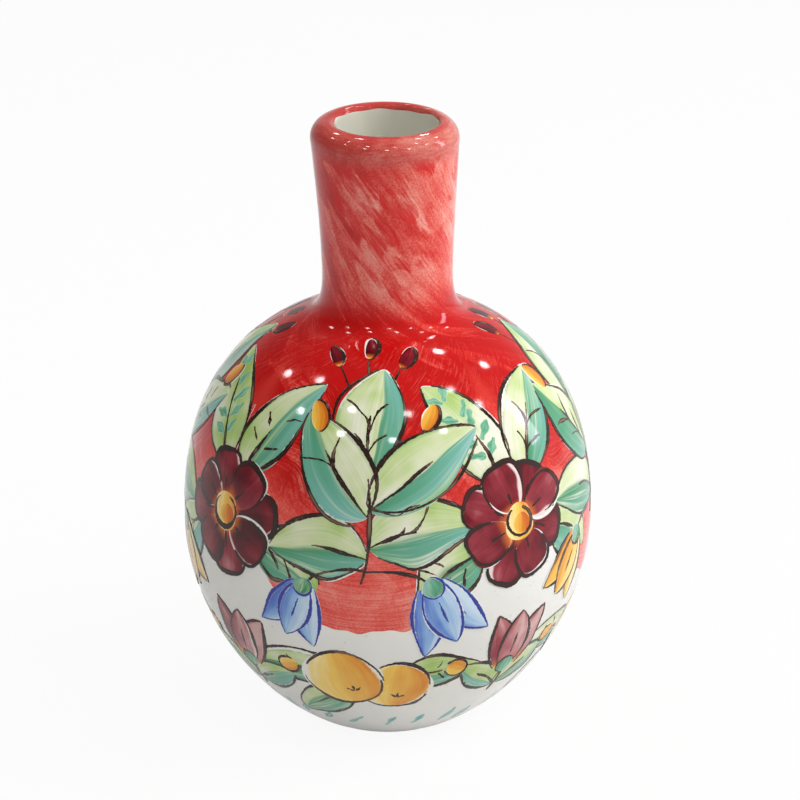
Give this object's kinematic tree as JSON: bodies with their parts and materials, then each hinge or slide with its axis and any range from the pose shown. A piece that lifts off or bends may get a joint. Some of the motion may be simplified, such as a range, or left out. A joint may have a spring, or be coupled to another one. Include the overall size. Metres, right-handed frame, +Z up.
{
  "type": "oil and vinegar cruet",
  "caption": "Round-bellied glazed earthenware cruet bottle with a flared neck, rounded lip and open mouth, for keeping and pouring oil or vinegar at the table.",
  "frame": {"origin": "middle of the foot, on the table", "axes": "+Z up along the bottle's axis, towards the mouth; +X to the right in the picture's view, which looks along +Y"},
  "size_m": [0.1, 0.1, 0.1509],
  "materials": {
    "clay": "unglazed fired earthenware, matt and fine-grained",
    "white_glaze": "glossy opaque white glaze with brushed colour under it",
    "red_glaze": "glossy glaze over streaky brushed red",
    "lining_glaze": "glossy opaque white glaze"
  },
  "bodies": {
    "root": {"body": "clay", "neck": "clay", "white_glaze": "white_glaze", "red_glaze": "red_glaze", "inner_glaze": "lining_glaze"}
  },
  "joints": []
}
